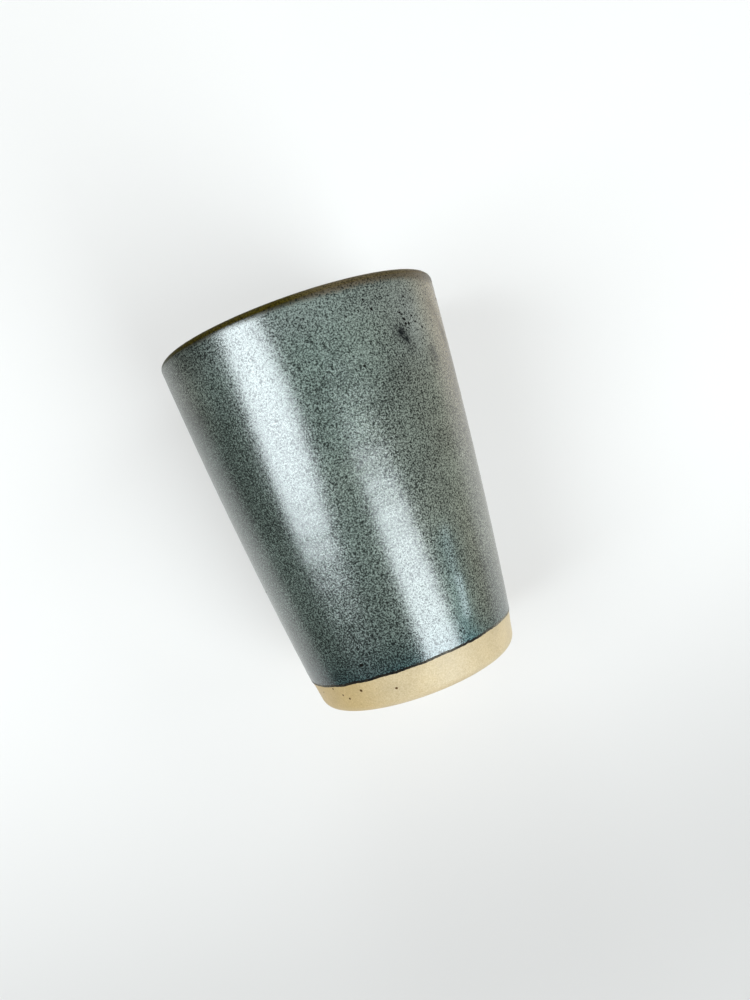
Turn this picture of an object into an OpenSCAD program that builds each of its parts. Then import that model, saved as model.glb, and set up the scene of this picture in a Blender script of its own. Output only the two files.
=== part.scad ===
// Yunomi tea cup: a thrown stoneware tumbler with a bare clay foot, glazed outside and in.
// It stands on its foot. +Z runs up through the mouth, and the origin is the middle of the
// plane that it stands on. Lengths are in millimetres.

/* [Overall size] */
// Height from the table to the top of the lip
cup_h = 100; // [80:1:120]
// Outside diameter of the glazed wall, carried on up to the height of the lip
mouth_d = 75.9; // [62:0.1:95]
// Outside diameter of the glazed wall, carried on down to the table
foot_d = 55.4; // [46:0.1:61]
// How far the wall bows out at half height from a straight taper
belly_bow = 0.9; // [0.3:0.1:3]

/* [Clay] */
// Thickness of the clay in the wall
wall_t = 2.7; // [2:0.1:4]
// Thickness of the clay in the floor, over the foot recess
floor_t = 4.5; // [3:0.1:8]
// Radius where the inside wall turns into the floor
well_r = 9; // [5:0.5:14]
// Radius of the outer bottom edge of the foot
foot_edge_r = 3; // [1:0.1:5]
// Width of the flat ring that the cup stands on
foot_ring_w = 6; // [3:0.5:9]
// Depth of the recess inside the foot ring
recess_h = 1.5; // [0.5:0.1:3]

/* [Glaze] */
// Thickness of the coat on the outside
glaze_t = 0.5; // [0.2:0.05:0.9]
// Thickness of the coat on the inside
liner_t = 0.4; // [0.2:0.05:0.9]
// Height of the bare clay band under the outside coat
bare_band_h = 8.9; // [6:0.1:20]
// Height of the rolled edge in which the outside coat ends
glaze_edge_h = 0.6; // [0.3:0.05:1.5]
// How far the brown rim coat runs down the wall below the rounded lip
rim_drop_h = 0.8; // [0.4:0.1:4]

/* [Hidden] */
$fn = 180;

// Number of straight steps along the wall, round a corner, and along a short stretch of wall
wall_steps = 24;
round_steps = 16;
short_steps = 3;

// Depths below the glazed outside: the clay's outer face, its inner face and the glazed inside
clay_face = glaze_t;
inner_face = clay_face + wall_t;
liner_face = inner_face + liner_t;

// The lip is a half round as wide as the glazed wall
lip_r = liner_face / 2;

// The outside is one long arc from the table to the lip, seen in section as [radius, height]
foot_pt = [foot_d / 2, 0];
mouth_pt = [mouth_d / 2, cup_h];
chord = mouth_pt - foot_pt;
bow_r = norm(chord) * norm(chord) / (8 * belly_bow) + belly_bow / 2;
outward = [chord[1], -chord[0]] / norm(chord);
bow_mid = (foot_pt + mouth_pt) / 2 - outward * (bow_r - belly_bow);

// Direction, from the arc's centre, of the height z on the wall at a depth, and the point there
function wall_turn(z, depth) = asin((z - bow_mid[1]) / (bow_r - depth));
function ray(turn) = [cos(turn), sin(turn)];
function wall_pt(turn, depth) = bow_mid + (bow_r - depth) * ray(turn);

// Centre of a round of radius r that sits at height z and touches the wall from the inside
function round_mid(z, r, depth) =
  let (reach = bow_r - depth - r, rise = z - bow_mid[1])
  [bow_mid[0] + sqrt(reach * reach - rise * rise), z];
function turn_to(pt) = atan2(pt[1] - bow_mid[1], pt[0] - bow_mid[0]);

// Even steps up to, and without, the last value: the next stretch starts there
function steps(from, to, count) = [for (i = [0 : count - 1]) from + (to - from) * i / count];
function along_wall(turns, depth) = [for (turn = turns) wall_pt(turn, depth)];
function round_off(mid, r, from, to) = [for (turn = steps(from, to, round_steps)) mid + r * ray(turn)];
function backwards(pts) = [for (i = [len(pts) - 1 : -1 : 0]) pts[i]];

// Landmarks along the wall, from the foot up
foot_mid = round_mid(foot_edge_r, foot_edge_r, clay_face);
foot_turn = turn_to(foot_mid);
line_turn = wall_turn(bare_band_h, clay_face);
edge_turn = wall_turn(bare_band_h + glaze_edge_h, 0);
lip_turn = wall_turn(cup_h - lip_r, lip_r);
band_turn = wall_turn(cup_h - lip_r - rim_drop_h, lip_r);

// The rounded lip, of the clay and of the coat over it
clay_lip_r = wall_t / 2;
clay_lip_mid = wall_pt(lip_turn, clay_face + clay_lip_r);
rim_lip_mid = wall_pt(lip_turn, lip_r);

// Inside floor, and the round that carries the wall into it
floor_z = recess_h + floor_t;
well_mid = round_mid(floor_z + well_r, well_r, inner_face);
well_turn = turn_to(well_mid);

// Underside: the recess ends in a quarter round at the foot ring's inner edge
ring_in_r = foot_mid[0] - foot_ring_w;
recess_mid = [ring_in_r - recess_h, 0];

// Stretches that neighbouring layers share, so that they meet face to face
edge_turns = steps(line_turn, edge_turn, short_steps);
coat_turns = steps(edge_turn, band_turn, wall_steps);
rim_turns = steps(band_turn, lip_turn, short_steps);
rim_turns_down = steps(lip_turn, band_turn, short_steps);
inside_turns = steps(band_turn, well_turn, wall_steps);
inside_face = concat(
  along_wall(inside_turns, inner_face),
  round_off(well_mid, well_r, well_turn, -90),
  [[well_mid[0], floor_z], [0, floor_z]]
);

// Clay: foot ring, wall, lip and floor, thrown in one
module clay_body() {
  outline = concat(
    [[0, recess_h]],
    round_off(recess_mid, recess_h, 90, 0),
    [[ring_in_r, 0]],
    round_off(foot_mid, foot_edge_r, -90, foot_turn),
    along_wall(steps(foot_turn, line_turn, short_steps), clay_face),
    along_wall(edge_turns, clay_face),
    along_wall(coat_turns, clay_face),
    along_wall(rim_turns, clay_face),
    round_off(clay_lip_mid, clay_lip_r, lip_turn, lip_turn + 180),
    along_wall(rim_turns_down, inner_face),
    inside_face
  );
  color([0.74, 0.63, 0.50]) rotate_extrude() polygon(outline);
}

// Blue-grey coat between the rolled edge and the rim
module outer_glaze() {
  outline = concat(
    along_wall(concat(coat_turns, band_turn), 0),
    backwards(along_wall(concat(coat_turns, band_turn), clay_face))
  );
  color([0.36, 0.41, 0.40]) rotate_extrude() polygon(outline);
}

// Dark rolled edge: a quarter round from the bare clay out to the face of the coat
module glaze_edge() {
  roll = [
    for (turn = steps(0, 90, round_steps))
      wall_pt(edge_turn - (edge_turn - line_turn) * cos(turn), clay_face * (1 - sin(turn)))
  ];
  outline = concat(
    roll,
    [wall_pt(edge_turn, 0)],
    backwards(along_wall(concat(edge_turns, edge_turn), clay_face))
  );
  color([0.13, 0.11, 0.09]) rotate_extrude() polygon(outline);
}

// Brown coat over the lip, from the outside band round to the inside
module rim_glaze() {
  over = concat(
    along_wall(rim_turns, 0),
    round_off(rim_lip_mid, lip_r, lip_turn, lip_turn + 180),
    along_wall(concat(rim_turns_down, band_turn), liner_face)
  );
  under = concat(
    along_wall(rim_turns, clay_face),
    round_off(clay_lip_mid, clay_lip_r, lip_turn, lip_turn + 180),
    along_wall(concat(rim_turns_down, band_turn), inner_face)
  );
  color([0.34, 0.28, 0.21]) rotate_extrude() polygon(concat(over, backwards(under)));
}

// Coat over the inside wall and floor
module liner_glaze() {
  face = concat(
    along_wall(inside_turns, liner_face),
    round_off(well_mid, well_r - liner_t, well_turn, -90),
    [[well_mid[0], floor_z + liner_t], [0, floor_z + liner_t]]
  );
  color([0.42, 0.47, 0.46]) rotate_extrude() polygon(concat(face, backwards(inside_face)));
}

clay_body();
outer_glaze();
glaze_edge();
rim_glaze();
liner_glaze();
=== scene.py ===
import math
import bpy
import numpy as np
from mathutils import Matrix, Vector


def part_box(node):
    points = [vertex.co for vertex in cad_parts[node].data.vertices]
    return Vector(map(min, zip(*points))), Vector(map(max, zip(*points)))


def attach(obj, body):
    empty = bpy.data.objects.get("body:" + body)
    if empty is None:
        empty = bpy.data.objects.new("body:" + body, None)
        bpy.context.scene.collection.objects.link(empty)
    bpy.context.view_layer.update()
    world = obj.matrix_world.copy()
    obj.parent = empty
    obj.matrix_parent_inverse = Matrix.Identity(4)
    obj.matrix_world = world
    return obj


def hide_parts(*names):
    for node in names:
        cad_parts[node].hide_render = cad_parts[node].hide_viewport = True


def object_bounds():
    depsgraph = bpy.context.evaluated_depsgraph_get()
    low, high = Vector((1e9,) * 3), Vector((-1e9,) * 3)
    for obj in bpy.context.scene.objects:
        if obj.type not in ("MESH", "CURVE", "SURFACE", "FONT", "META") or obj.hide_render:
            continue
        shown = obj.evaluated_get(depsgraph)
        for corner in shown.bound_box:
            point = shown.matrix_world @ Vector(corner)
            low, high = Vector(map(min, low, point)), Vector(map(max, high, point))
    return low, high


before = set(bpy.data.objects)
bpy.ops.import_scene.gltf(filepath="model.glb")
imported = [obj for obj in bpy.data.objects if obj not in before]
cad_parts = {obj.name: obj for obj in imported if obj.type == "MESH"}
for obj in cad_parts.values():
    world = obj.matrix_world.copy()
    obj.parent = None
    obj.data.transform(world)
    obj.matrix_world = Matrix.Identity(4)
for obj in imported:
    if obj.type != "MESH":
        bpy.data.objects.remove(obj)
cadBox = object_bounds()
root = "root"
mm = 0.001
fullTurn = 2 * math.pi
upward = Vector((0, 0, 1))
white = (1, 1, 1, 1)
print("frame loaded:", ", ".join(sorted(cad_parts)))


# the cup's own shape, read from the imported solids, in millimetres

reading = {
    "touch": 0.01,          # mm, points this near a level count as lying on it
    "wellClear": 14,        # mm above the floor, from where the inside is plain wall
}


def ringPoints(nodeName):
    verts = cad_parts[nodeName].data.vertices
    points = np.empty(len(verts) * 3, np.float32)
    verts.foreach_get("co", points)
    points = points.reshape(-1, 3).astype(float) / mm
    return np.hypot(points[:, 0], points[:, 1]), points[:, 2]


def coatFaces(nodeName, lowest):
    # curves of radius over height for the outer and the inner face of a coat
    radius, height = ringPoints(nodeName)
    radius, height = radius[height > lowest], height[height > lowest]
    between = np.polyval(np.polyfit(height, radius, 2), height)  # midway between the two faces
    faces = radius > between, radius < between
    return [np.poly1d(np.polyfit(height[face], radius[face], 3)) for face in faces]


def tangentRound(face, flatRadius, level):
    slope = face.deriv()(level)  # round between a level floor and the sloping wall
    return (face(level) - flatRadius) / (math.hypot(1, slope) - slope)


def leanOf(face, level):
    return math.degrees(math.atan(face.deriv()(level)))


def roundArc(middle, radius, first, last, count):
    turn = np.radians(np.linspace(first, last, count))
    return middle[0] + radius * np.cos(turn), middle[1] + radius * np.sin(turn)


cupTop = cadBox[1].z / mm
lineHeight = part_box("glaze_edge")[0].z / mm
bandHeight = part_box("outer_glaze")[1].z / mm
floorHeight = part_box("liner_glaze")[0].z / mm
wellClear = floorHeight + reading["wellClear"]
glazeFace, clayFace = coatFaces("outer_glaze", 0)
clayInside, linerFace = coatFaces("liner_glaze", wellClear)
linerThick = clayInside(wellClear) - linerFace(wellClear)

clayRadius, clayHeight = ringPoints("clay_body")
onTable = clayHeight < reading["touch"]
ringInner, ringOuter = clayRadius[onTable].min(), clayRadius[onTable].max()
recessDepth = clayHeight[(clayRadius < ringInner) & (clayHeight < floorHeight / 2)].max()
footRound = tangentRound(clayFace, ringOuter, 0)
linerRadius, linerHeight = ringPoints("liner_glaze")
wellFlat = linerRadius[linerHeight < floorHeight + reading["touch"]].max()
wellRound = tangentRound(clayInside, wellFlat, floorHeight)
wellTop = floorHeight + wellRound

lipRound = (glazeFace(cupTop) - linerFace(cupTop)) / 2
lipLevel = cupTop - lipRound
lipLean = leanOf(glazeFace, lipLevel)
lipMiddle = (glazeFace(lipLevel) + linerFace(lipLevel)) / 2
clayLipRound = (clayFace(lipLevel) - clayInside(lipLevel)) / 2
clayLipMiddle = (clayFace(lipLevel) + clayInside(lipLevel)) / 2
print(f"cup read from frame: {cupTop:.1f} mm tall, glaze line at {lineHeight:.1f} mm,",
      f"lip round {lipRound:.2f} mm")


# ramps, and the hand of the potter: what keeps the cup from being a perfect turning

lathe = {
    "around": 400,          # mesh columns round the cup
    "sharp": 50,            # degrees, edges steeper than this stay crisp
}
hand = {
    "outOfRound": 0.10,     # mm
    "lobes": [(2, 1.0, 0.8, 0.5), (3, 0.5, -1.1, 1.0)],  # lobes round, share, start and twist in radians
    "ridge": 0.008,         # mm, faint throwing ridges
    "ridgePitch": 7.5,      # mm
    "ridgeWobble": (0.8, 11),  # radians and mm, how unevenly the ridges follow each other
    "peel": 0.003,          # mm, orange peel of the fired glaze
    "peelWaves": (2.2, 4.5),  # mm, shortest and longest
    "dipDrop": 0.20,        # mm, how far the dip ran past the turned line
    "dipTilt": 0.38,        # mm, the cup was dipped a little askew
    "lineSag": 0.50,        # mm, lower at the sides than in front and behind
    "lineWave": (6, 26, 0.07),  # how the line wavers: fewest and most waves round, mm
    "lineTeeth": (50, 130, 0.035),  # and how it frays
}
azimuth = np.linspace(-math.pi, math.pi, lathe["around"], endpoint=False)  # 0 faces the camera
column = azimuth[:, None]


def ramp(value, low, high):
    return np.clip((value - low) / (high - low), 0, 1)


def rise(value, low, high):
    step = ramp(value, low, high)
    return step * step * (3 - 2 * step)


def wander(around, fewest, most, size, seed):
    draw = np.random.default_rng(seed)
    total = np.zeros_like(around)
    for waves in range(fewest, most + 1):
        total = total + draw.normal() * np.cos(waves * around + draw.uniform(0, fullTurn))
    return total * size / math.sqrt(most - fewest + 1)


def ripples(around, height, waves, size, seed, count=70):
    draw = np.random.default_rng(seed)
    total = np.zeros(np.broadcast(around, height).shape)
    girth = glazeFace(cupTop / 2)
    for _ in range(count):
        reach = fullTurn / draw.uniform(*waves)
        lean = draw.uniform(0, math.pi)
        turns = round(girth * reach * math.cos(lean))  # whole waves, so the seam closes
        start = draw.uniform(0, fullTurn)
        total = total + np.cos(turns * around + reach * math.sin(lean) * height + start)
    return total * size * math.sqrt(2 / count)


def outOfRound(around, height):
    climb = height / cupTop
    return hand["outOfRound"] * sum(part * np.cos(count * around + start + twist * climb)
                                    for count, part, start, twist in hand["lobes"])


def throwing(around, height):
    wobble, pitch = hand["ridgeWobble"]
    turn = fullTurn * height / hand["ridgePitch"] + around + wobble * np.sin(height / pitch)
    return hand["ridge"] * np.sin(turn)


def glazeSkin(around, height):
    peel = ripples(around, height, hand["peelWaves"], hand["peel"], seed=11)
    return outOfRound(around, height) + throwing(around, height) + peel


def dipLine(around):
    sag = hand["lineSag"] * (np.cos(2 * around) - 1) / 2
    return lineHeight - hand["dipDrop"] + hand["dipTilt"] * np.sin(around) + sag


glazeLine = (dipLine(azimuth) + wander(azimuth, *hand["lineWave"], seed=3)
             + wander(azimuth, *hand["lineTeeth"], seed=4))[:, None]


# meshes turned round the cup's axis

def newMesh(name, points, faces):
    mesh = bpy.data.meshes.new(name)
    mesh.from_pydata(points, [], faces)
    return mesh


def putInScene(name, data):
    made = bpy.data.objects.new(name, data)
    bpy.context.scene.collection.objects.link(made)
    return made


def turned(name, radius, height, share, closed):
    # radius and height: one row per column round the cup, one entry per step along the section
    around, steps = radius.shape
    x, y = radius * np.sin(column), -radius * np.cos(column)
    index = np.arange(around * steps).reshape(around, steps)
    if not closed:
        for end in (0, -1):
            index[:, end] = index[0, end]  # the section starts and ends on the axis
    nextColumn = np.roll(index, -1, axis=0)
    if closed:
        index, nextColumn = (np.hstack([grid, grid[:, :1]]) for grid in (index, nextColumn))
    u = np.linspace(0, 1, around + 1)
    faces, corners = [], []
    for i in range(around):
        for j in range(len(share) - 1):
            quad = [index[i, j], nextColumn[i, j], nextColumn[i, j + 1], index[i, j + 1]]
            low, high = share[j], share[j + 1]
            places = [(u[i], low), (u[i + 1], low), (u[i + 1], high), (u[i], high)]
            keep = [k for k in range(4) if quad[k] not in quad[:k]]
            faces.append([int(quad[k]) for k in keep])
            corners.extend(places[k] for k in keep)
    used = np.unique(index)
    fresh = np.full(around * steps, -1)
    fresh[used] = np.arange(len(used))
    points = np.stack([x, y, height], axis=-1).reshape(-1, 3)[used] * mm
    mesh = newMesh(name, points.tolist(), [[int(fresh[k]) for k in face] for face in faces])
    mesh.uv_layers.new(name="OFBake").data.foreach_set("uv", np.array(corners, np.float32).ravel())
    mesh.polygons.foreach_set("use_smooth", [True] * len(mesh.polygons))
    mesh.set_sharp_from_angle(angle=math.radians(lathe["sharp"]))
    return putInScene(name, mesh)


def shares(counts, parts):
    # place of each step on the UV sheet, from the steps of each stretch and its part of the sheet
    marks = [0.0]
    for count, part in zip(counts, parts):
        marks.extend(marks[-1] + part * np.arange(1, count + 1) / count)
    return np.array(marks) / marks[-1]


def rows(*stretches):
    return np.hstack([np.broadcast_to(s, (lathe["around"], np.shape(s)[-1])) for s in stretches])


toneMost = 2  # the strongest tone that a mask holds


def paintMasks(piece, **rules):
    verts = piece.data.vertices
    points = np.empty(len(verts) * 3, np.float32)
    verts.foreach_get("co", points)
    points = points.reshape(-1, 3) / mm
    around = np.arctan2(points[:, 0], -points[:, 1])
    for name, rule in rules.items():
        values = np.clip(rule(around, points[:, 2]), 0, toneMost).astype(np.float32)
        piece.data.attributes.new(name, "FLOAT", "POINT").data.foreach_set("value", values)


def settle(piece, material, standsFor=None):
    piece.data.materials.append(material)
    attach(piece, root)
    if standsFor:
        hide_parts(standsFor)
    print(f"{piece.name}: {len(piece.data.polygons)} faces")


# node helpers for the finishes

noiseSpan = (0.3, 0.7)  # where most values of a noise lie


def newMaterial(name):
    material = bpy.data.materials.new(name)
    material.use_nodes = True
    material.node_tree.nodes.clear()
    return material, material.node_tree


def add(tree, kind, inputs=None, **settings):
    made = tree.nodes.new(kind)
    for key, value in settings.items():
        setattr(made, key, value)
    for key, value in (inputs or {}).items():
        if isinstance(value, bpy.types.NodeSocket):
            tree.links.new(value, made.inputs[key])
        else:
            made.inputs[key].default_value = value
    return made


def inMillimetres(tree):
    place = add(tree, "ShaderNodeTexCoord").outputs["Object"]
    larger = {0: place, 1: (1 / mm, 1 / mm, 1 / mm)}
    return add(tree, "ShaderNodeVectorMath", larger, operation="MULTIPLY").outputs[0]


def noise(tree, place, scale, detail=2.0, rough=0.5, shift=0.0):
    if shift:
        moved = {0: place, 1: (shift, shift, shift)}
        place = add(tree, "ShaderNodeVectorMath", moved, operation="ADD").outputs[0]
    look = {"Vector": place, "Scale": scale, "Detail": detail, "Roughness": rough}
    return add(tree, "ShaderNodeTexNoise", look).outputs["Fac"]


def spread(tree, value, low, high, toLow=0.0, toHigh=1.0, smooth=False):
    span = {"Value": value, "From Min": low, "From Max": high, "To Min": toLow, "To Max": toHigh}
    return add(tree, "ShaderNodeMapRange", span,
               interpolation_type="SMOOTHSTEP" if smooth else "LINEAR").outputs[0]


def blend(tree, amount, first, second, way="MIX"):
    made = add(tree, "ShaderNodeMix", {0: amount, 6: first, 7: second}, data_type="RGBA", blend_type=way)
    return made.outputs[2]


def tinted(tree, colour, tint):
    return blend(tree, 1.0, colour, tint, way="MULTIPLY")


def sums(tree, way, first, second):
    return add(tree, "ShaderNodeMath", {0: first, 1: second}, operation=way).outputs[0]


def mask(tree, name):
    return add(tree, "ShaderNodeAttribute", attribute_name=name).outputs["Fac"]


def bumps(tree, height, deep, under=None):
    made = add(tree, "ShaderNodeBump", {"Height": height, "Distance": deep * mm, "Strength": 1.0})
    if under:
        tree.links.new(under, made.inputs["Normal"])
    return made.outputs["Normal"]


def shade(tree, **inputs):
    named = {key.replace("_", " "): value for key, value in inputs.items()}
    shader = add(tree, "ShaderNodeBsdfPrincipled", named)
    add(tree, "ShaderNodeOutputMaterial", {"Surface": shader.outputs[0]})


def glowing(name, colour, strength):
    material, tree = newMaterial(name)
    glow = add(tree, "ShaderNodeEmission", {"Color": colour, "Strength": strength})
    add(tree, "ShaderNodeOutputMaterial", {"Surface": glow.outputs[0]})
    return material


# speckled blue-grey glaze, which breaks to brown where it runs thin

glazeFinish = {
    "grain": {"scale": 2.65, "detail": 2.5, "rough": 0.62},  # specks per mm
    "grainEdges": (0.42, 0.59),           # where the dark specks end and the light ones begin
    "grainPull": 0.06,                    # how far a pale or a dark tone shifts the share of light specks
    "cloud": {"scale": 0.075, "detail": 3, "rough": 0.55, "shift": 31.0},
    "cloudTone": (0.80, 1.20),            # darkest and palest clouds
    "drift": {"scale": 0.028, "detail": 2, "shift": 77.0},
    "driftSpan": (0.35, 0.65),
    "driftWarm": (-0.15, 0.15),           # how far the hue drifts from cool to warm
    "shadeTint": (0.95, 1.0, 0.96, 1),    # the thick dark coat is a little greener
    "shadeTones": (0.55, 1.05),           # tones from and to over which that tint fades
    "toneCurve": 0.75,
    "coolDark": (0.0125, 0.0170, 0.0143, 1),
    "coolLight": (0.163, 0.204, 0.174, 1),
    "warmDark": (0.0085, 0.0086, 0.0058, 1),
    "warmLight": (0.202, 0.196, 0.148, 1),
    "rustDark": (0.026, 0.020, 0.012, 1),
    "rustLight": (0.262, 0.206, 0.126, 1),
    "slateDark": (0.005, 0.014, 0.0165, 1),
    "slateLight": (0.044, 0.125, 0.134, 1),
    "greyDark": (0.0160, 0.0160, 0.0160, 1),
    "greyLight": (0.192, 0.196, 0.196, 1),
    "oliveDark": (0.008, 0.006, 0.0012, 1),
    "oliveLight": (0.029, 0.0225, 0.003, 1),
    "brownDark": (0.046, 0.033, 0.017, 1),
    "brownLight": (0.195, 0.146, 0.090, 1),
    "tealRun": (0.45, 0.53, 0.52, 1),
    "smudge": (0.006, 0.008, 0.008, 1),
    "smudgeGrain": (1.0, 0.75),           # how well the smudges cover dark and light specks
    "breakGrain": (-0.25, 0.25),          # how far the grain frays the border of the brown
    "breakEdges": (0.25, 0.75),
    "sheen": 0.28,                        # roughness of the grains,
    "pitSheen": 0.14,                     # of the hollows between them
    "sheenEdges": (0.40, 0.60),
    "brownSheen": 0.16,                   # and what the thin brown glaze adds
    "gloss": 0.66,                        # how much the grains shine
    "pitGloss": 0.30,                     # and the hollows
    "glossEdges": (0.38, 0.54),
    "oliveDull": 0.65,                    # share of the shine that the olive rim loses
    "glassIndex": 2.1,
    "grainDeep": 0.022,                   # mm
    "peel": {"scale": 0.55, "detail": 1, "shift": 13.0},
    "peelDeep": 0.006,                    # mm
}


def speckledGlaze(name, finish):
    material, tree = newMaterial(name)
    place = inMillimetres(tree)
    grain = noise(tree, place, **finish["grain"])
    cloud = noise(tree, place, **finish["cloud"])
    drift = noise(tree, place, **finish["drift"])
    tone = sums(tree, "MULTIPLY", spread(tree, cloud, *noiseSpan, *finish["cloudTone"]), mask(tree, "tone"))
    pull = spread(tree, tone, 0, toneMost, -finish["grainPull"], finish["grainPull"])
    fleck = spread(tree, sums(tree, "ADD", grain, pull), *finish["grainEdges"])
    tint = blend(tree, spread(tree, tone, *finish["shadeTones"]), finish["shadeTint"], white)
    deep = tinted(tree, tint, sums(tree, "POWER", tone, finish["toneCurve"]))

    def specked(kind):
        return blend(tree, fleck, finish[kind + "Dark"], finish[kind + "Light"])

    # the blue-grey coat, from cool at the left to warm at the right
    warmth = spread(tree, drift, *finish["driftSpan"], *finish["driftWarm"])
    warmth = sums(tree, "ADD", warmth, mask(tree, "warmSide"))
    colour = blend(tree, warmth, specked("cool"), specked("warm"))
    for maskName, kind in (("greyTop", "grey"), ("rustSide", "rust"), ("slateFoot", "slate")):
        colour = blend(tree, mask(tree, maskName), colour, specked(kind))
    colour = tinted(tree, colour, deep)
    run = sums(tree, "MULTIPLY", mask(tree, "paleRun"), fleck)
    colour = blend(tree, run, colour, finish["tealRun"])

    # where it thins over the lip it breaks to olive and brown
    fray = spread(tree, grain, *noiseSpan, *finish["breakGrain"])
    broken = sums(tree, "ADD", mask(tree, "brownRim"), fray)
    broken = spread(tree, broken, *finish["breakEdges"], smooth=True)
    brown = blend(tree, mask(tree, "brownSide"), specked("olive"), specked("brown"))
    colour = blend(tree, broken, colour, brown)
    smudge = sums(tree, "MULTIPLY", mask(tree, "smudge"), spread(tree, fleck, 0, 1, *finish["smudgeGrain"]))
    colour = blend(tree, smudge, colour, finish["smudge"])

    peel = noise(tree, place, **finish["peel"])
    normal = bumps(tree, grain, finish["grainDeep"], bumps(tree, peel, finish["peelDeep"]))
    sheen = spread(tree, grain, *finish["sheenEdges"], finish["pitSheen"], finish["sheen"])
    sheen = sums(tree, "ADD", sheen, sums(tree, "MULTIPLY", broken, finish["brownSheen"]))
    gloss = spread(tree, grain, *finish["glossEdges"], finish["pitGloss"], finish["gloss"])
    dull = spread(tree, mask(tree, "brownSide"), 0, 1, finish["oliveDull"], 0.0)
    kept = sums(tree, "SUBTRACT", 1.0, sums(tree, "MULTIPLY", broken, dull))
    gloss = sums(tree, "MULTIPLY", gloss, kept)
    shade(tree, Base_Color=colour, Roughness=sheen, Normal=normal, IOR=finish["glassIndex"],
          Specular_IOR_Level=gloss)
    return material


# outside coat: places on it are degrees round from the front, to the right, and mm up

outerCoat = {
    "rows": 176,
    "hiddenRows": 8,
    "lipRows": 5,
    "sheet": (0.92, 0.01, 0.06, 0.01),  # parts of the UV sheet: face, upper edge, back and lower edge
    "lipClimb": 10,         # degrees the coat climbs round the lip before the brown takes over
    "thin": 0.06,           # mm, how much thinner the coat runs out at its lower edge
    "thinReach": 2.0,       # mm

    "paleSide": (54, 42, 98),  # degrees round: middle of the pale side, half width, end of the blend
    "pale": 1.28,           # tone of the coat on that side and on the other
    "dark": 0.80,
    "darkFoot": 0.42,       # tone taken off near the glaze line
    "darkReach": 12,        # mm
    "darkAway": (10, 60),   # degrees from the middle of the pale side, from and to
    "lightTop": 0.26,       # tone added under the rim
    "topUp": (75, 92),      # mm up from and to
    "toneLeast": 0.25,
    "patches": [            # degrees round, mm up, half width and half height in mm, tone added
        (-52, 62, 4, 7, -0.22),
        (-46, 97, 9, 5, -0.38),
        (-46, 32, 9, 26, 0.20),
        (-6, 74, 6, 16, 0.20),
        (-2, 95, 6, 5, 0.18),
        (7, 86, 5, 8, -0.14),
        (11, 70, 3.5, 6, 0.35),
        (20, 83, 4, 6, 0.20),
        (21, 66, 3.5, 5, -0.16),
        (28, 43, 4, 9, 0.16),
        (29, 21, 4, 13, 0.68),
        (33, 76, 5, 10, -0.28),
        (34, 94, 6, 4, -0.34),
        (36, 65, 4, 5, -0.22),
        (36, 34, 4, 5, -0.25),
        (37, 14, 4, 4, -0.28),
        (44, 25, 4, 8, 0.20),
        (47, 72, 7, 26, 0.44),
        (53, 88, 4, 9, 0.30),
        (57, 13, 7, 16, -0.34),
    ],

    "warmSide": (-18, 76),  # degrees round from and to, where the coat turns warm
    "warmEnd": (180, 110),  # and where it is cool again at the back
    "warmUp": (20, 60),     # mm up from and to
    "warmLess": 0.2,        # share of the warmth missing below that
    "warmTop": (-30, -56, 66, 90, 0.4),  # left of the rim: degrees from and to, mm from and to, strength
    "warmTopEnd": (-180, -110),
    "greyTop": (87, 94, 0.14),  # mm up from and to, strength of the greyer tint under the rim
    "greySpots": [          # as the patches, with the strength of the tint
        (47, 86, 8, 9, 0.38),
        (-4, 94, 8, 5, 0.14),
    ],
    "rustSide": (45, 74),   # degrees round, where it turns to rust
    "rustEnd": (150, 100),
    "rustUp": (42, 84),     # mm
    "earth": (46, 9, 52, 30, 0.20),  # degrees round, half width, mm up from and to, strength
    "slate": 0.95,          # slate tint at the line
    "slateReach": 4.6,      # mm above it over which the tint fades
    "slateLess": (28, 42, 0.55),  # degrees round from and to, share of the tint lost on the right

    # runs: from and to, each in degrees and mm, then width in mm and strength
    "slateRuns": [(28.5, 15.0, 29.5, 34.0, 3.2, 0.25)],
    "paleRuns": [
        (31.3, 16.0, 31.9, 24.5, 1.25, 0.85),
        (30.6, 26.0, 31.5, 37.0, 1.6, 0.28),
    ],
    # brown runs near the right edge, painted stronger so they also stand for a painted warm reflection
    # there
    "brownRunsAndWarmReflection": [
        (63, 90.5, 69, 85, 3.2, 0.46),
        (72, 82, 73, 68, 3.0, 0.40),
    ],
    "smudges": [            # degrees round, mm up, radius in mm, strength
        (36.1, 86.3, 0.9, 0.9),
        (38.0, 84.8, 1.5, 1.35),
        (39.6, 83.2, 1.4, 1.2),
        (40.6, 81.2, 2.0, 0.55),
        (54.0, 78.9, 1.8, 0.75),
        (55.2, 77.4, 1.8, 0.75),
    ],

    "brownDrop": 2.35,      # mm, mean depth of the brown below the lip
    "brownSwing": 0.7,      # mm, how much deeper it hangs on the right
    "brownWave": (3, 14, 0.2),  # fewest and most waves round, mm
    "brownSoft": (2.6, 3.6),  # mm, softness of its lower border where it is olive and where it is brown
    "brownShort": (-50, -68, 1.0),  # degrees round from and to, mm less of it at the left
    "brownShortEnd": (-150, -100),
    "brownHaze": 2.4,       # mm, and how much softer its border is there
    "brownSides": [(-4, 18, 0.46), (40, 62, 0.50)],  # degrees round from and to, share that turns brown
    "brownSideEnd": (178, 100),
}


def patch(around, height, turn, up, wide, tall):
    aside = (around - math.radians(turn)) * glazeFace(up)
    return np.exp(-(aside / wide) ** 2 - ((height - up) / tall) ** 2)


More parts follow.
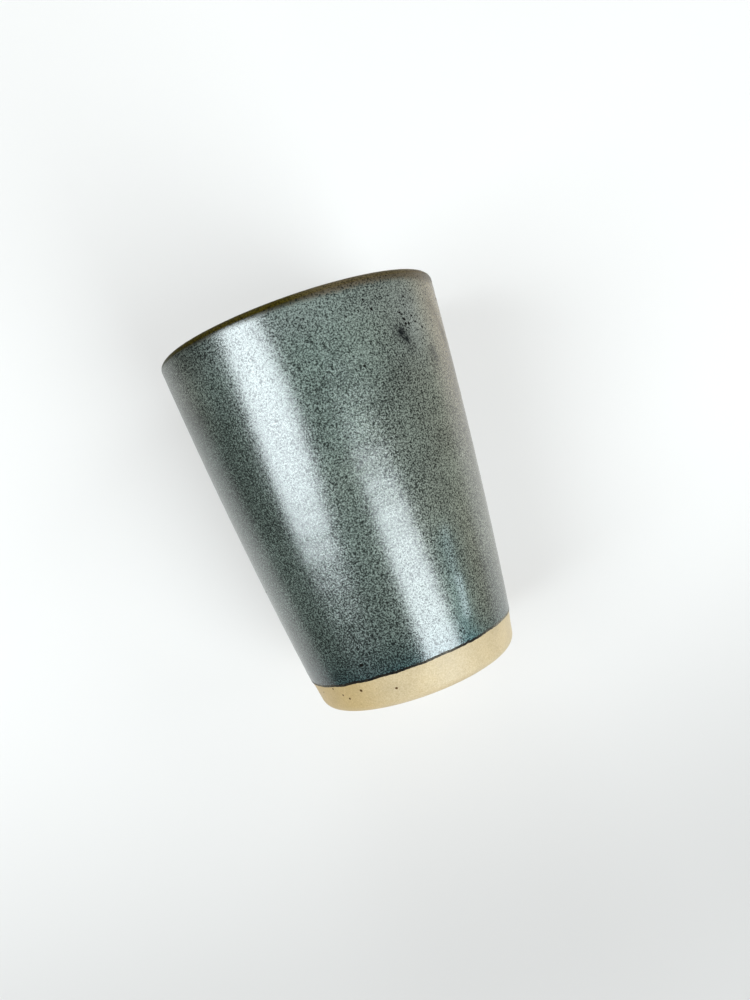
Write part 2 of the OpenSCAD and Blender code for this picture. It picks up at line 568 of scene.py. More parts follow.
def smear(around, height, fromTurn, fromUp, toTurn, toUp, wide, strength):
    girth = glazeFace((fromUp + toUp) / 2)
    start = np.array([math.radians(fromTurn) * girth, fromUp])
    reach = np.array([math.radians(toTurn) * girth, toUp]) - start
    place = np.stack([around * girth, height], axis=-1) - start
    along = np.clip(place @ reach / (reach @ reach), 0, 1)
    away = np.linalg.norm(place - along[:, None] * reach, axis=1)
    return strength * np.exp(-(away / wide) ** 2)


def runs(around, height, kind):
    return sum(smear(around, height, *run) for run in outerCoat[kind])


def paleRule(around, height):
    return runs(around, height, "paleRuns")


def toneRule(around, height):
    middle, inner, outer = outerCoat["paleSide"]
    away = np.abs((np.degrees(around) - middle + 180) % 360 - 180)
    tone = outerCoat["dark"] + (outerCoat["pale"] - outerCoat["dark"]) * rise(away, outer, inner)
    low = outerCoat["darkFoot"] * np.exp(-(height - lineHeight) / outerCoat["darkReach"])
    tone = tone - low * ramp(away, *outerCoat["darkAway"])
    tone = tone + outerCoat["lightTop"] * rise(height, *outerCoat["topUp"])
    tone = tone + sum(change * patch(around, height, *spot) for *spot, change in outerCoat["patches"])
    return np.clip(tone, outerCoat["toneLeast"], toneMost)


def warmRule(around, height):
    turn = np.degrees(around)
    low = outerCoat["warmLess"] * (1 - rise(height, *outerCoat["warmUp"]))
    warm = rise(turn, *outerCoat["warmSide"]) * rise(turn, *outerCoat["warmEnd"]) * (1 - low)
    near, far, low, high, strength = outerCoat["warmTop"]
    left = rise(turn, near, far) * rise(turn, *outerCoat["warmTopEnd"])
    return warm + strength * left * rise(height, low, high)


def greyRule(around, height):
    low, high, strength = outerCoat["greyTop"]
    spots = sum(part * patch(around, height, *spot) for *spot, part in outerCoat["greySpots"])
    return strength * rise(height, low, high) + spots


def rustRule(around, height):
    turn = np.degrees(around)
    rust = rise(turn, *outerCoat["rustSide"]) * rise(turn, *outerCoat["rustEnd"])
    rust = rust * rise(height, *outerCoat["rustUp"])
    middle, wide, high, low, strength = outerCoat["earth"]
    return rust + strength * np.exp(-((turn - middle) / wide) ** 2) * rise(height, high, low)


def slateRule(around, height):
    above = np.maximum(height - dipLine(around), 0)
    low, high, less = outerCoat["slateLess"]
    right = 1 - less * rise(np.degrees(around), low, high)
    foot = outerCoat["slate"] * right * np.exp(-above / outerCoat["slateReach"])
    return foot + runs(around, height, "slateRuns")


def smudgeRule(around, height):
    total = np.zeros_like(height)
    for turn, up, radius, strength in outerCoat["smudges"]:
        away = np.hypot((around - math.radians(turn)) * glazeFace(up), height - up)
        total = np.maximum(total, strength * np.exp(-(away / radius) ** 2))
    return total


def brownLeft(around):
    turn = np.degrees(around)
    near, far, _ = outerCoat["brownShort"]
    return rise(turn, near, far) * rise(turn, *outerCoat["brownShortEnd"])


def brownDepth(around):
    swing = outerCoat["brownSwing"] * np.sin(around) - outerCoat["brownShort"][-1] * brownLeft(around)
    return outerCoat["brownDrop"] + swing + wander(around, *outerCoat["brownWave"], seed=9)


def brownSideRule(around, height):
    turn = np.degrees(around)
    total = sum(part * rise(turn, low, high) for low, high, part in outerCoat["brownSides"])
    return total * rise(turn, *outerCoat["brownSideEnd"])


def lipBrownRule(around, height):
    below = cupTop - height
    olive, brown = outerCoat["brownSoft"]
    soft = olive + (brown - olive) * brownSideRule(around, height)
    soft = soft + outerCoat["brownHaze"] * brownLeft(around)
    return 0.5 + (brownDepth(around) - below) / soft


def brownRule(around, height):
    return np.maximum(lipBrownRule(around, height), runs(around, height, "brownRunsAndWarmReflection"))


def coatFace(height):
    thin = outerCoat["thin"] * np.exp(-(height - glazeLine) / outerCoat["thinReach"])
    return glazeFace(height) + glazeSkin(column, height) - thin


def makeOuterCoat():
    lowest = glazeLine + edgeRoll["tall"]
    climb, count = outerCoat["lipClimb"], outerCoat["lipRows"]
    lip = roundArc((lipMiddle, lipLevel), lipRound, -lipLean, climb, count)
    under = roundArc((clayLipMiddle, lipLevel), clayLipRound, climb, -lipLean, count)
    wall = lowest + (lip[1][0] - lowest) * np.linspace(0, 1, outerCoat["rows"])
    height = rows(wall, lip[1][1:])
    face = rows(coatFace(wall), lip[0][1:] + glazeSkin(column, lip[1][1:]))
    hidden = lowest + (under[1][-1] - lowest) * np.linspace(1, 0, outerCoat["hiddenRows"])
    backHeight = rows(under[1][:-1], hidden)
    back = rows(under[0][:-1], clayFace(hidden) + claySwell(hidden)) + outOfRound(column, backHeight)
    share = shares((height.shape[1] - 1, 1, backHeight.shape[1] - 1, 1), outerCoat["sheet"])
    piece = turned("outerGlaze", rows(face, back), rows(height, backHeight), share, closed=True)
    paintMasks(piece, tone=toneRule, warmSide=warmRule, greyTop=greyRule, rustSide=rustRule,
               slateFoot=slateRule, brownRim=brownRule, brownSide=brownSideRule, smudge=smudgeRule,
               paleRun=paleRule)
    settle(piece, speckledGlaze("speckledGlaze", glazeFinish), "outer_glaze")


# dark rolled edge where the outside coat stops above the bare clay: dark glaze, painted near-black also for
# the shade in the crease under it

edgeRoll = {
    "tall": 0.70,           # mm
    "bulge": 0.05,          # mm
    "rows": 10,
    "hiddenStep": 3,        # one row behind for each three in front
    "sheet": (0.7, 0.1, 0.15, 0.05),  # parts of the UV sheet: face, top, back and line
    # near-black: dark glaze, and painted shade of the crease under the coat's edge
    "colour": (0.004, 0.004, 0.004, 1),
    "brown": (0.022, 0.015, 0.008, 1),
    "brownCloud": {"scale": 0.9, "detail": 2},
    "brownEdges": (0.42, 0.66),
    "grain": {"scale": 2.2, "detail": 2},
    "grainDeep": 0.008,     # mm
    "rough": (0.70, 0.85),
    "index": 1.2,
    "faint": (0.26, 0.235, 0.19, 1),
    "faintEdges": (0.35, 0.65),
    "faintGrain": (0.4, 1.4),  # how the grain breaks the faint stretches up
    "faintSpots": [         # degrees round, half width, strength
        (12, 9, 0.45),
        (64, 19, 1.0),
        (-64, 14, 0.6),
        (150, 20, 0.5),
        (-120, 16, 0.4),
    ],
}


def edgeGlaze():
    material, tree = newMaterial("edgeGlaze")
    place = inMillimetres(tree)
    cloud = spread(tree, noise(tree, place, **edgeRoll["brownCloud"]), *edgeRoll["brownEdges"])
    colour = blend(tree, cloud, edgeRoll["colour"], edgeRoll["brown"])
    grain = noise(tree, place, **edgeRoll["grain"])
    faint = spread(tree, grain, *edgeRoll["faintEdges"], *edgeRoll["faintGrain"])
    faint = sums(tree, "MULTIPLY", mask(tree, "faint"), faint)
    colour = blend(tree, faint, colour, edgeRoll["faint"])
    shade(tree, Base_Color=colour, Roughness=spread(tree, grain, *noiseSpan, *edgeRoll["rough"]),
          Normal=bumps(tree, grain, edgeRoll["grainDeep"]), IOR=edgeRoll["index"])
    return material


def faintRule(around, height):
    turn = np.degrees(around)
    return sum(part * np.exp(-((turn - middle) / wide) ** 2)
               for middle, wide, part in edgeRoll["faintSpots"])


def makeEdgeRoll():
    turn = np.linspace(0, math.pi / 2, edgeRoll["rows"])
    height = glazeLine + edgeRoll["tall"] * (1 - np.cos(turn))
    base = clayFace(height) + claySwell(height) + outOfRound(column, height)
    face = base + (coatFace(height) - base) * np.sin(turn) + edgeRoll["bulge"] * np.sin(2 * turn)
    backHeight, back = (grid[:, ::-edgeRoll["hiddenStep"]] for grid in (height, base))
    share = shares((edgeRoll["rows"] - 1, 1, backHeight.shape[1] - 1, 1), edgeRoll["sheet"])
    piece = turned("glazeEdge", rows(face, back), rows(height, backHeight), share, closed=True)
    paintMasks(piece, faint=faintRule)
    settle(piece, edgeGlaze(), "glaze_edge")


# brown coat over the lip

rimCoat = {
    "wallRows": 6,
    "lipRows": 30,
    "hiddenRows": 8,
    "sheet": (0.9, 0.01, 0.08, 0.01),  # parts of the UV sheet: face, inner edge, back and outer edge
    "finish": dict(
        glazeFinish,
        sheen=0.42,
        pitSheen=0.34,
        brownSheen=0.0,
        grainDeep=0.020,
        glassIndex=1.18,
        oliveDark=(0.017, 0.012, 0.002, 1),
        oliveLight=(0.060, 0.045, 0.005, 1),
    ),
}


def makeRimCoat():
    first, last = outerCoat["lipClimb"], 180 - lipLean
    inside = np.linspace(bandHeight, lipLevel, rimCoat["wallRows"])[:-1]
    lipOut = roundArc((lipMiddle, lipLevel), lipRound, first, last, rimCoat["lipRows"])
    lipIn = roundArc((clayLipMiddle, lipLevel), clayLipRound, last, first, rimCoat["hiddenRows"])
    over = np.concatenate([lipOut[0], linerFace(inside[::-1])])
    under = np.concatenate([clayInside(inside), lipIn[0]])
    overHeight = rows(np.concatenate([lipOut[1], inside[::-1]]))
    underHeight = rows(np.concatenate([inside, lipIn[1]]))
    innerFace = linerFace(lipLevel)
    outside = ramp(over, innerFace, innerFace + 2 * lipRound)  # the glaze skin fades out over the lip
    plain = outOfRound(column, overHeight)
    skin = plain + outside * (glazeSkin(column, overHeight) - plain)
    radius = rows(over + skin, under + outOfRound(column, underHeight))
    share = shares((len(over) - 1, 1, len(under) - 1, 1), rimCoat["sheet"])
    piece = turned("rimGlaze", radius, rows(overHeight, underHeight), share, closed=True)
    paintMasks(piece, tone=toneRule, warmSide=warmRule, rustSide=rustRule,
               brownRim=lipBrownRule, brownSide=brownSideRule)
    settle(piece, speckledGlaze("rimGlaze", rimCoat["finish"]), "rim_glaze")


# glaze on the inside wall and floor

linerCoat = {
    "wallRows": 110,
    "wellRows": 20,
    "floorRows": 26,
    "hiddenRows": 14,
    "sheet": (0.08, 0.01, 0.91),  # parts of the UV sheet: back, upper edge and face
    "spiral": 0.05,         # mm, the thrower's spiral on the floor
    "spiralPitch": 5.0,     # mm
    "spiralFade": (6, 3),   # mm, from the floor's edge and from its middle
    "finger": 0.05,         # mm, finger ridges up the inside
    "fingerPitch": 9.0,     # mm
    "fingerFade": (15, 12),  # mm, from the well and from the rim
    "tone": 1.1,
    "finish": dict(glazeFinish, grainDeep=0.020),
}


def linerTone(around, height):
    return np.full_like(height, linerCoat["tone"])


def wellSection(face, curve, level, counts):
    wallRows, wellRows, floorRows = counts
    wall = np.linspace(bandHeight, wellTop, wallRows)[:-1]
    arc = roundArc((wellFlat, wellTop), curve, -leanOf(clayInside, wellTop), -90, wellRows)
    floor = np.linspace(wellFlat, 0, floorRows)[1:]
    radius = np.concatenate([face(wall), arc[0], floor])
    return radius, np.concatenate([wall, arc[1], np.full(len(floor), level)])


def makeLiner():
    counts = linerCoat["wallRows"], linerCoat["wellRows"], linerCoat["floorRows"]
    shown = wellSection(linerFace, wellRound - linerThick, floorHeight + linerThick, counts)
    hidden = wellSection(clayInside, wellRound, floorHeight, (linerCoat["hiddenRows"],) * 3)
    radius, height = (rows(values) for values in shown)
    backRadius, backHeight = (rows(values[::-1]) for values in hidden)
    low, high = linerCoat["fingerFade"]
    wall = ramp(height, wellTop, wellTop + low) * ramp(height, bandHeight, bandHeight - high)
    finger = linerCoat["finger"] * wall * np.sin(fullTurn * height / linerCoat["fingerPitch"] + column)
    outer, inner = linerCoat["spiralFade"]
    onFloor = ramp(radius, wellFlat, wellFlat - outer) * ramp(radius, 0, inner)
    spiral = np.sin(fullTurn * radius / linerCoat["spiralPitch"] + column)
    spiral = linerCoat["spiral"] * onFloor * spiral
    face = radius + ramp(radius, 0, wellFlat) * outOfRound(column, height) - finger
    back = backRadius + ramp(backRadius, 0, wellFlat) * outOfRound(column, backHeight)
    share = shares((back.shape[1] - 1, 1, face.shape[1] - 1), linerCoat["sheet"])
    piece = turned("linerGlaze", rows(back, face), rows(backHeight, height + spiral), share, closed=False)
    paintMasks(piece, tone=linerTone, brownRim=lipBrownRule, brownSide=brownSideRule)
    settle(piece, speckledGlaze("linerGlaze", linerCoat["finish"]), "liner_glaze")


# bare buff clay: foot band, foot ring, recess, and the wall under the coats

clayForm = {
    "recessRows": 26,
    "curveRows": 9,
    "ringRows": 16,
    "roundRows": 22,
    "bandRows": 44,
    "bandOver": 1.4,        # mm, how far the fine rows go on under the coat
    "hiddenRows": 12,
    "sheet": (0.88, 0.12),  # parts of the UV sheet: bare clay and what the coats cover
    "swell": 0.25,          # mm, the clay stands out a little under the coat's edge
    "swellFrom": 2.5,       # mm up
    "swellUnder": (1, 6),   # mm above the line, where the swell fades under the coat
    "trimLine": 0.006,      # mm, fine lines left by the trimming tool
    "trimPitch": 0.9,       # mm
    "trimWobble": (3, 0.4),  # waves round, radians
    "recessTrim": 0.018,    # mm, the same rings inside the foot
    "recessPitch": 1.7,     # mm
    "recessFade": 3,        # mm from the middle
    "grog": 0.010,          # mm, coarse sand just under the surface
    "grogWaves": (1.8, 3.5),  # mm, shortest and longest
    "skinFade": 2,          # mm, over which both fade at the foot's round and above the line

    "pale": (0.665, 0.525, 0.325, 1),
    "buff": (0.505, 0.369, 0.195, 1),
    "grain": {"scale": 2.6, "detail": 3, "rough": 0.65},  # per mm
    "grainDeep": 0.022,     # mm
    "cloud": {"scale": 0.16, "detail": 3, "shift": 19.0},
    "cloudTone": (0.93, 1.07),
    "lump": {"scale": 0.9, "detail": 2, "shift": 7.0},
    "lumpDeep": 0.03,       # mm
    "sand": (0.33, 0.225, 0.110, 1),
    "sandScale": 1.1,       # grains per mm
    "sandSize": (0.10, 0.20),  # share of the spacing, heart and edge of a grain
    "sandShow": 0.55,
    "sandCloud": {"scale": 0.5, "shift": 53.0},
    "sandEdges": (0.52, 0.60),
    "paintedLeftShade": (0.94, 0.865, 0.66, 1),  # painted shade: how much darker and warmer the clay is painted on its left, the side away from the windows
    "paintedLeftShadeAcross": (-5.0, -19.0),  # mm across, from and to, where that painted shade comes in
    "footShade": (0.90, 1.0),  # painted shade: how dark the lower edge of the foot is painted, and the clay above it
    "footUp": (0.6, 2.8),   # mm up from and to
    "rough": (0.42, 0.52),
    "index": 1.6,
}


def bareClay(look):
    material, tree = newMaterial("bareClay")
    place = inMillimetres(tree)
    across = add(tree, "ShaderNodeSeparateXYZ", {0: place}).outputs
    grain = noise(tree, place, **look["grain"])
    cloud = noise(tree, place, **look["cloud"])
    colour = blend(tree, spread(tree, grain, *noiseSpan), look["buff"], look["pale"])
    colour = tinted(tree, colour, spread(tree, cloud, *noiseSpan, *look["cloudTone"]))
    cells = {"Vector": place, "Scale": look["sandScale"], "Randomness": 1.0}
    sand = add(tree, "ShaderNodeTexVoronoi", cells).outputs["Distance"]
    sparse = spread(tree, noise(tree, place, **look["sandCloud"]), *look["sandEdges"])
    dots = sums(tree, "MULTIPLY", spread(tree, sand, *look["sandSize"], look["sandShow"], 0.0), sparse)
    colour = blend(tree, dots, colour, look["sand"])
    # painted shade: the clay's left side, away from the windows, is painted darker and warmer
    paintedLeftShade = spread(tree, across["X"], *look["paintedLeftShadeAcross"], smooth=True)
    colour = blend(tree, paintedLeftShade, colour, look["paintedLeftShade"], way="MULTIPLY")
    # painted shade along the foot's lower edge and under the foot
    paintedFootShade = spread(tree, across["Z"], *look["footUp"], *look["footShade"], smooth=True)
    colour = tinted(tree, colour, paintedFootShade)
    lump = bumps(tree, noise(tree, place, **look["lump"]), look["lumpDeep"])
    shade(tree, Base_Color=colour, Roughness=spread(tree, grain, *noiseSpan, *look["rough"]),
          Normal=bumps(tree, grain, look["grainDeep"], lump), IOR=look["index"])
    return material


def claySwell(height):
    low, high = (lineHeight + reach for reach in clayForm["swellUnder"])
    return clayForm["swell"] * rise(height, clayForm["swellFrom"], lineHeight) * rise(height, high, low)


def clayBareSection():
    # from the middle of the recess out over the ring and up the bare band
    flat = ringInner - recessDepth
    recess = np.linspace(0, flat, clayForm["recessRows"])[:-1]
    curve = roundArc((flat, 0), recessDepth, 90, 0, clayForm["curveRows"])
    ring = np.linspace(ringInner, ringOuter, clayForm["ringRows"])[1:-1]
    lean = leanOf(clayFace, footRound)
    foot = roundArc((ringOuter, footRound), footRound, -90, -lean, clayForm["roundRows"])
    band = np.linspace(foot[1][-1], lineHeight + clayForm["bandOver"], clayForm["bandRows"])[1:]
    radius = np.concatenate([recess, curve[0], ring, foot[0], clayFace(band)])
    height = np.concatenate([np.full(len(recess), recessDepth), curve[1], ring * 0, foot[1], band])
    return radius, height


def clayHiddenSection(start):
    # on up under the coat, over the lip and down the inside to the middle of the floor
    count = clayForm["hiddenRows"]
    climb = np.linspace(start, lipLevel, count)[1:-1]
    lip = roundArc((clayLipMiddle, lipLevel), clayLipRound, -lipLean, 180 - lipLean, count)
    inside = wellSection(clayInside, wellRound, floorHeight, (count,) * 3)
    return np.concatenate([clayFace(climb), lip[0], inside[0]]), np.concatenate([climb, lip[1], inside[1]])


def makeClay():
    shown = clayBareSection()
    hidden = clayHiddenSection(shown[1][-1])
    radius, height = (rows(first, second) for first, second in zip(shown, hidden))
    fade = clayForm["skinFade"]
    bare = ramp(height, footRound / 2, footRound / 2 + fade) * (height < lineHeight + fade)
    waves, swing = clayForm["trimWobble"]
    trim = np.sin(fullTurn * height / clayForm["trimPitch"] + swing * np.sin(waves * column))
    skin = ripples(column, height, clayForm["grogWaves"], clayForm["grog"], seed=21)
    skin = skin + clayForm["trimLine"] * trim
    outside = radius > clayFace(height) - clayLipRound
    radius = radius + ramp(radius, 0, wellFlat) * outOfRound(column, height) + bare * skin
    radius = radius + outside * claySwell(height)
    under = (height < recessDepth + reading["touch"]) & (radius < ringInner - recessDepth)
    rings = np.sin(fullTurn * radius / clayForm["recessPitch"]) * ramp(radius, 0, clayForm["recessFade"])
    height = height + under * clayForm["recessTrim"] * rings
    share = shares((len(shown[0]) - 1, len(hidden[0])), clayForm["sheet"])
    piece = turned("clayBody", radius, height, share, closed=False)
    settle(piece, bareClay(clayForm), "clay_body")


# iron specks burnt into the bare clay, and pinholes in the coat, painted near-black as the shade in the
# holes

specks = {
    "seen": [               # degrees round, mm up, radius in mm
        (-32.7, 6.4, 0.41),
        (-14.0, 4.9, 0.33),
        (-42.4, 4.6, 0.30),
        (-46.0, 5.7, 0.24),
        (-51.4, 7.6, 0.27),
    ],
    "behind": 13,           # more of them round the sides that the photo hides
    "turns": (62, 296),     # degrees round
    "size": (0.14, 0.32),   # mm, radius
    "clear": (0.5, 1.2),    # mm, of the foot's round and of the line
    "flat": 0.30,           # how thick a speck is for its width
    "colour": (0.050, 0.020, 0.005, 1),
    "edge": (0.200, 0.100, 0.032, 1),
    "rough": (0.6, 0.8),
    "index": 1.25,
}
pits = {
    "seen": [
        (41.3, 87.7, 0.42),
        (41.5, 86.6, 0.36),
        (43.2, 86.5, 0.38),
        (40.8, 88.9, 0.32),
        (45.8, 88.2, 0.34),
        (39.9, 89.4, 0.30),
        (50.6, 85.2, 0.36),
        (47.2, 86.7, 0.32),
        (27.7, 91.6, 0.32),
        (25.5, 94.1, 0.30),
        (43.0, 91.1, 0.32),
        (44.3, 93.0, 0.30),
        (40.1, 82.2, 0.32),
        (18.1, 79.7, 0.32),
        (-25.9, 12.9, 0.48),
    ],
    "behind": 16,
    "turns": (75, 290),
    "size": (0.20, 0.38),
    "clear": (4, 3),        # mm, of the line and of the rim band
    "flat": 0.13,
    # painted shade: the near-black of the holes, on lenses that stand proud of the coat
    "colour": (0.003, 0.003, 0.0025, 1),
    "edge": (0.014, 0.013, 0.010, 1),
    "rough": (0.85, 0.95),
    "index": 1.12,
}
spotForm = {
    "sides": 14,
    "tiers": 6,
    "uneven": (0.75, 1.25),  # how far a spot is from round
    "grain": {"scale": 4.0, "detail": 2},
    "grainEdges": (0.4, 0.7),
    "grainDeep": 0.02,      # mm
}


def spotMaterial(name, look):
    material, tree = newMaterial(name)
    grain = noise(tree, inMillimetres(tree), **spotForm["grain"])
    colour = blend(tree, spread(tree, grain, *spotForm["grainEdges"]), look["colour"], look["edge"])
    shade(tree, Base_Color=colour, Roughness=spread(tree, grain, *noiseSpan, *look["rough"]),
          Normal=bumps(tree, grain, spotForm["grainDeep"]), IOR=look["index"])
    return material


def spotPoints(turn, up, size, face, flat, draw):
    # tiers of an uneven lens that sits half in the surface, then its crown and its base
    around = math.radians((turn + 180) % 360 - 180)
    outward = Vector((math.sin(around), -math.cos(around), 0))
    aside = Vector((math.cos(around), math.sin(around), 0))
    middle = outward * (face(up) + outOfRound(around, up)) + upward * up
    sides, tiers = spotForm["sides"], spotForm["tiers"]
    blob = draw.uniform(*spotForm["uneven"], sides)
    blob = (blob + np.roll(blob, 1) + np.roll(blob, -1)) / 3
    points = []
    for tier in range(1, tiers):
        climb = math.pi * tier / tiers
        for side in range(sides):
            swing = fullTurn * side / sides
            wide = size * blob[side] * math.sin(climb)
            spot = (aside * math.cos(swing) + upward * math.sin(swing)) * wide
            points.append(middle + spot + outward * (math.cos(climb) * size * flat))
    points.extend(middle + outward * (size * flat * way) for way in (1, -1))
    return points


def spotFaces(first):
    sides, bands = spotForm["sides"], spotForm["tiers"] - 2
    crown = first + (bands + 1) * sides
    base = crown + 1
    last = first + bands * sides
    faces = []
    for side in range(sides):
        after = (side + 1) % sides
        faces.append((crown, first + side, first + after))
        for low in range(first, last, sides):
            high = low + sides
            faces.append((low + side, high + side, high + after, low + after))
        faces.append((base, last + after, last + side))
    return faces


def makeSpots(name, look, face, lowest, highest, seed):
    draw = np.random.default_rng(seed)
    places = list(look["seen"])
    low, high = lowest + look["clear"][0], highest - look["clear"][1]
    for _ in range(look["behind"]):
        places.append((draw.uniform(*look["turns"]), draw.uniform(low, high), draw.uniform(*look["size"])))
    points, faces = [], []
    for turn, up, size in places:
        faces.extend(spotFaces(len(points)))
        points.extend(spotPoints(turn, up, size, face, look["flat"], draw))
    mesh = newMesh(name, [tuple(point * mm) for point in points], faces)
    mesh.polygons.foreach_set("use_smooth", [True] * len(mesh.polygons))
    settle(putInScene(name, mesh), spotMaterial(name, look))


def bandFace(height):
    return clayFace(height) + claySwell(height)


makeClay()
makeSpots("ironSpecks", specks, bandFace, footRound, lineHeight, seed=5)
makeSpots("pinholes", pits, glazeFace, lineHeight, bandHeight, seed=6)
makeEdgeRoll()
makeOuterCoat()
makeRimCoat()
makeLiner()


# stage: the pale tabletop the cup was laid on, which here leans against its back

table = {
    "half": 1.4,            # m
    "gap": 0.0004,          # m, clear of the cup
    "tries": 200,           # heights at which the lean against the cup is tried
    "fade": (0.40, 1.2),    # m from the cup, where the top fades into the white surround
    "glossFade": (0.05, 0.24),  # m, the same as the glaze reflects it,
    "glossMiddle": (0, -0.05, 0),  # measured from here
    "colour": (0.905, 0.868, 0.835, 1),
    "rough": 0.75,
    "ownLight": 0.30,       # about the share of the top's brightness that is its own light
    "ownColour": (0.985, 0.96, 0.945, 1),
    "dimAlong": (-0.16, 0.0),  # m along the top, from and to
    "dim": 0.57,            # painted shade: how bright the top is painted past the foot, beside the lip's end
    "cloud": {"scale": 9.0, "detail": 4},  # per m
    "mottle": 0.02,
}


def tabletopMaterial():
    material, tree = newMaterial("paleTabletop")
    place = add(tree, "ShaderNodeTexCoord").outputs["Object"]
    along = add(tree, "ShaderNodeSeparateXYZ", {0: place}).outputs["Y"]
    pale = spread(tree, noise(tree, place, **table["cloud"]), *noiseSpan, 1 - table["mottle"], 1)
    # painted shade along the top, darker past the foot
    dim = spread(tree, along, *table["dimAlong"], table["dim"], 1.0, smooth=True)
    pale = sums(tree, "MULTIPLY", sums(tree, "MULTIPLY", pale, dim), 1 - table["ownLight"])
    top = add(tree, "ShaderNodeBsdfPrincipled", {
        "Base Color": tinted(tree, table["colour"], pale),
        "Roughness": table["rough"],
        "Emission Color": table["ownColour"],
        "Emission Strength": table["ownLight"],
    }).outputs[0]
    clear = add(tree, "ShaderNodeBsdfTransparent").outputs[0]

    # it fades out far from the cup, sooner in reflections, and can't be seen from behind
    away = add(tree, "ShaderNodeVectorMath", {0: place}, operation="LENGTH").outputs["Value"]
    fade = spread(tree, away, *table["fade"], smooth=True)
    shifted = add(tree, "ShaderNodeVectorMath", {0: place, 1: table["glossMiddle"]}, operation="DISTANCE")
    glossFade = spread(tree, shifted.outputs["Value"], *table["glossFade"], smooth=True)
    glossy = add(tree, "ShaderNodeLightPath").outputs["Is Glossy Ray"]
    fade = sums(tree, "MAXIMUM", fade, sums(tree, "MULTIPLY", glossy, glossFade))
    hide = sums(tree, "MAXIMUM", fade, add(tree, "ShaderNodeNewGeometry").outputs["Backfacing"])
    mixed = add(tree, "ShaderNodeMixShader", {0: hide, 1: top, 2: clear}).outputs[0]
    add(tree, "ShaderNodeOutputMaterial", {"Surface": mixed})
    return material


def makeTable():
    heights = np.linspace(lineHeight, lipLevel, table["tries"])
    slope = (glazeFace(lipLevel) - glazeFace(lineHeight)) / (lipLevel - lineHeight)
    touch = np.max(glazeFace(heights) - slope * heights)  # where the leaning top meets the belly
    half = table["half"]
    corners = [(-half, -half, 0), (half, -half, 0), (half, half, 0), (-half, half, 0)]
    mesh = newMesh("tabletop", corners, [(0, 1, 2, 3)])
    mesh.materials.append(tabletopMaterial())
    top = putInScene("tabletop", mesh)
    middle = cupTop / 2
    clear = table["gap"] + 2 * hand["outOfRound"] * mm
    place = Vector((0, (touch + slope * middle) * mm + clear, middle * mm))
    along = Vector((0, slope, 1)).normalized()
    facing = Vector((0, -1, slope)).normalized()
    turn = Matrix((Vector((1, 0, 0)), along, facing)).transposed().to_4x4()
    top.matrix_world = Matrix.Translation(place) @ turn
    top.visible_shadow = False  # lets the back light reach the side the cup lies on


# light: two window panes that show in the gloss, and soft lamps that don't

daylight = (0.862, 0.957, 1.0)
windows = {  # degrees round and up from the cup, m away, brightness, corners of the pane in m
    "leftWindow": {
        "turn": -43.6,
        "up": -2.4,
        "away": 1.8,
        "glow": 6.3,
        "corners": [(-0.83, -0.41), (0.25, -0.44), (0.76, -0.04), (0.45, 0.40), (-0.17, 0.82)],
    },
    "rightWindow": {
        "turn": 37.4,
        "up": -35.7,
        "away": 1.8,
        "glow": 5.4,
        "corners": [(-0.14, -1.18), (0.66, -0.57), (0.55, 0.0), (-0.03, 0.77), (-1.07, 0.75)],
    },
}
fills = {  # square softboxes: degrees round and up, m away, m wide, watts
    "rightFill": {"turn": 66, "up": 6, "away": 2.0, "wide": 1.4, "power": 14.0},
    "mouthFill": {"turn": 0, "up": 89, "away": 2.2, "wide": 0.4, "power": 24.0},
    "backFill": {"turn": 205, "up": 35, "away": 1.2, "wide": 0.9, "power": 6.0},
}


def aimed(name, data, look):
    holder = putInScene(name, data)
    turn, up = math.radians(look["turn"]), math.radians(look["up"])
    out = Vector((math.sin(turn) * math.cos(up), -math.cos(turn) * math.cos(up), math.sin(up)))
    facing = (-out).to_track_quat("-Z", "Y").to_matrix().to_4x4()
    holder.matrix_world = Matrix.Translation(upward * (cupTop / 2 * mm) + out * look["away"]) @ facing
    holder.visible_camera = False
    return holder


def makeLights():
    for name, look in windows.items():
        mesh = newMesh(name, [(x, y, 0) for x, y in look["corners"]], [range(len(look["corners"]))])
        mesh.materials.append(glowing(name, (*daylight, 1), look["glow"]))
        pane = aimed(name, mesh, look)
        pane.visible_shadow = False
    for name, look in fills.items():
        lamp = bpy.data.lights.new(name, "AREA")
        lamp.size = look["wide"]
        lamp.energy = look["power"]
        lamp.color = daylight
        aimed(name, lamp, look).visible_glossy = False


surround = {
    "white": 0.93,          # what the camera and reflections see round the tabletop
    "ambient": 0.20,        # and how much of it lights the scene
    "room": 0.04,           # brightness of the dim room wall
    "roomColour": (0.97, 1, 1, 1),
    "roomRadius": 2.6,      # m
    "roomHalf": 3.0,        # m
    "roomSides": 48,
}


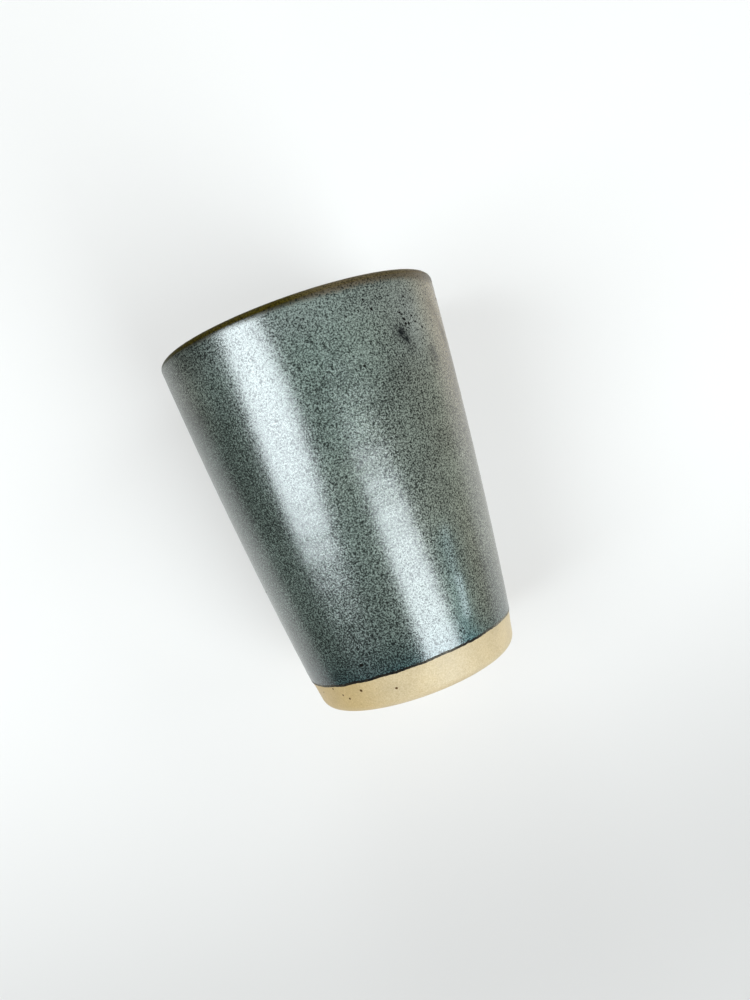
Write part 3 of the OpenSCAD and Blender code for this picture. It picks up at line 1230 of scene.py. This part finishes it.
def makeWorld():
    world = bpy.data.worlds.new("surround")
    bpy.context.scene.world = world
    world.use_nodes = True
    tree = world.node_tree
    tree.nodes.clear()
    path = add(tree, "ShaderNodeLightPath")
    seen = sums(tree, "MAXIMUM", path.outputs["Is Camera Ray"], path.outputs["Is Glossy Ray"])
    seen = sums(tree, "MAXIMUM", seen, path.outputs["Is Transmission Ray"])
    level = spread(tree, seen, 0, 1, surround["ambient"], surround["white"])
    sky = add(tree, "ShaderNodeBackground", {"Color": white, "Strength": level})
    add(tree, "ShaderNodeOutputWorld", {"Surface": sky.outputs[0]})


def makeRoom():
    # a dim room wall that only the gloss reflects, as round a cup shot beside windows
    count, radius, half = surround["roomSides"], surround["roomRadius"], surround["roomHalf"]
    turns = np.linspace(0, fullTurn, count, endpoint=False)
    wall = [(radius * math.cos(t), radius * math.sin(t), level) for level in (-half, half) for t in turns]
    after = [(i + 1) % count for i in range(count)]
    mesh = newMesh("dimRoom", wall, [(i, after[i], count + after[i], count + i) for i in range(count)])
    mesh.materials.append(glowing("dimRoom", surround["roomColour"], surround["room"]))
    room = putInScene("dimRoom", mesh)
    for rays in ("camera", "diffuse", "shadow", "transmission"):
        setattr(room, "visible_" + rays, False)


shot = {
    "away": 0.22438,        # m, in front of the cup's axis
    "up": 0.05998,          # m, above its foot
    "pan": 1.035,           # degrees
    "tilt": -3.019,
    "roll": -19.561,
    "focal": 29.707,        # mm on a 36 mm long side
    "nearest": 0.01,        # m, near end of what the camera sees
}


def makeCamera():
    pan, tilt, roll = (math.radians(shot[key]) for key in ("pan", "tilt", "roll"))
    ahead = Vector((math.sin(pan) * math.cos(tilt), math.cos(pan) * math.cos(tilt), math.sin(tilt)))
    level = ahead.cross(upward).normalized()
    upright = level.cross(ahead)
    right = level * math.cos(roll) + upright * math.sin(roll)
    above = upright * math.cos(roll) - level * math.sin(roll)
    lens = bpy.data.cameras.new("photoCamera")
    lens.lens = shot["focal"]
    lens.clip_start = shot["nearest"]
    holder = putInScene("photoCamera", lens)
    turn = Matrix((right, above, -ahead)).transposed().to_4x4()
    holder.matrix_world = Matrix.Translation(Vector((0, -shot["away"], shot["up"]))) @ turn
    bpy.context.scene.camera = holder


makeTable()
makeLights()
makeWorld()
makeRoom()
makeCamera()
bpy.context.scene.view_settings.view_transform = "Standard"
print("stage, lights and camera in place")
